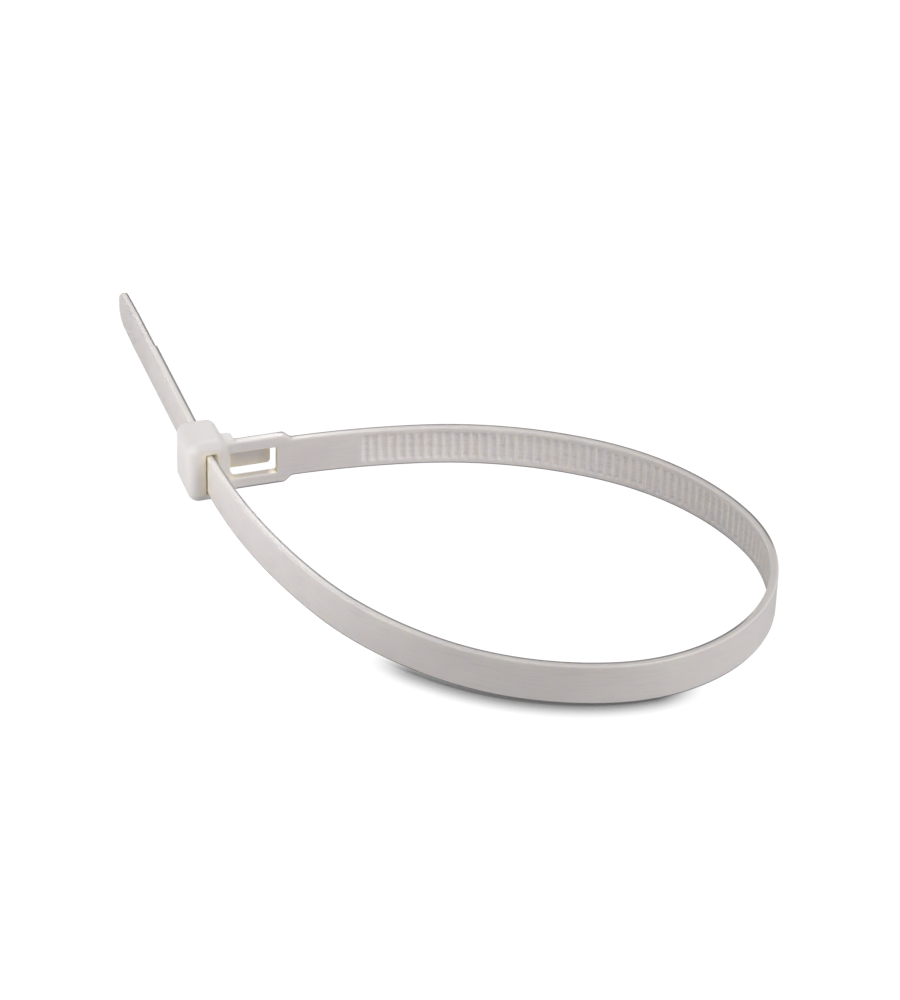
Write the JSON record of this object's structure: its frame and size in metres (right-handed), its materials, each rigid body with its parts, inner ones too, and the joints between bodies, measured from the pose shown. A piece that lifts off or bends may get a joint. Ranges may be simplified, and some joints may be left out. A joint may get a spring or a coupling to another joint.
{
  "type": "cable tie",
  "caption": "Releasable nylon cable tie closed in a teardrop loop: head with strap slot, pawl and release lever, ribbed strap and smooth tail with a round end.",
  "frame": {"origin": "centre of the bundle that the far bend of the loop holds, half way up the strap's width", "axes": "+X along the root as it leaves the head, +Y along the tail as it leaves the head, +Z across the strap's width (the bundle's axis); the tie lies on its edge"},
  "size_m": [0.0904, 0.1458, 0.012],
  "materials": {
    "nylon": "natural nylon, satin and slightly translucent"
  },
  "bodies": {
    "root": {"cable_tie": "nylon"}
  },
  "joints": []
}
